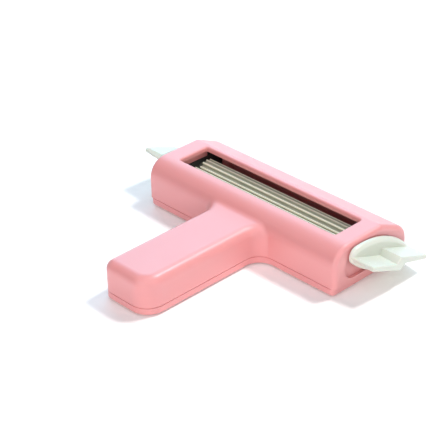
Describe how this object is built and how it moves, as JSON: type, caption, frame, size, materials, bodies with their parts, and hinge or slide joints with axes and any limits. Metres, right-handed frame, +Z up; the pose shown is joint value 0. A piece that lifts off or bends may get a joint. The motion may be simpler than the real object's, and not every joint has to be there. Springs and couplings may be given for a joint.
{
  "type": "paper crimper",
  "caption": "Hand-held paper crimper: a T-shaped plastic case with two meshing ribbed rollers turned by a winged knob at either end.",
  "frame": {"origin": "on the table, below the middle of the case, halfway from the handle's end to the housing's back", "axes": "+X along the rollers to the right-hand knob, -Y along the handle to its end, +Z up from the table"},
  "size_m": [0.166, 0.1304, 0.027],
  "materials": {
    "pink_case": "satin",
    "guide_plastic": "satin",
    "roller_plastic": "satin",
    "axle_steel": "satin",
    "plate_plastic": "matt",
    "bush_plastic": "satin",
    "spacer_plastic": "satin",
    "clip_steel": "satin",
    "mint_knob": "gloss",
    "screw_steel": "satin",
    "foot_rubber": "matt"
  },
  "bodies": {
    "case": {"upper_case": "pink_case", "lower_case": "pink_case", "paper_guide": "guide_plastic", "right_bearing_plate": "plate_plastic", "left_bearing_plate": "plate_plastic", "right_front_bush": "bush_plastic", "left_front_bush": "bush_plastic", "right_rear_bush": "bush_plastic", "left_rear_bush": "bush_plastic", "housing_screws": "screw_steel", "handle_screws": "screw_steel", "housing_feet": "foot_rubber", "handle_foot": "foot_rubber"},
    "drive_roller": {"rear_roller": "roller_plastic", "rear_axle": "axle_steel", "right_knob": "mint_knob", "left_knob": "mint_knob", "rear_spacers": "spacer_plastic", "rear_axle_clips": "clip_steel"},
    "idle_roller": {"front_roller": "roller_plastic", "front_axle": "axle_steel", "front_spacers": "spacer_plastic", "front_axle_clips": "clip_steel"}
  },
  "joints": [
    {"name": "drive_roller_turn", "type": "hinge", "parent": "case", "child": "drive_roller", "pos_m": [0, 0.04185, 0.0138], "axis": [1, 0, 0], "continuous": true},
    {"name": "idle_roller_turn", "type": "hinge", "parent": "case", "child": "idle_roller", "pos_m": [0, 0.02975, 0.0138], "axis": [1, 0, 0], "continuous": true}
  ],
  "couplings": [
    {"joint": "idle_roller_turn", "follows": "drive_roller_turn", "ratio": -1}
  ]
}
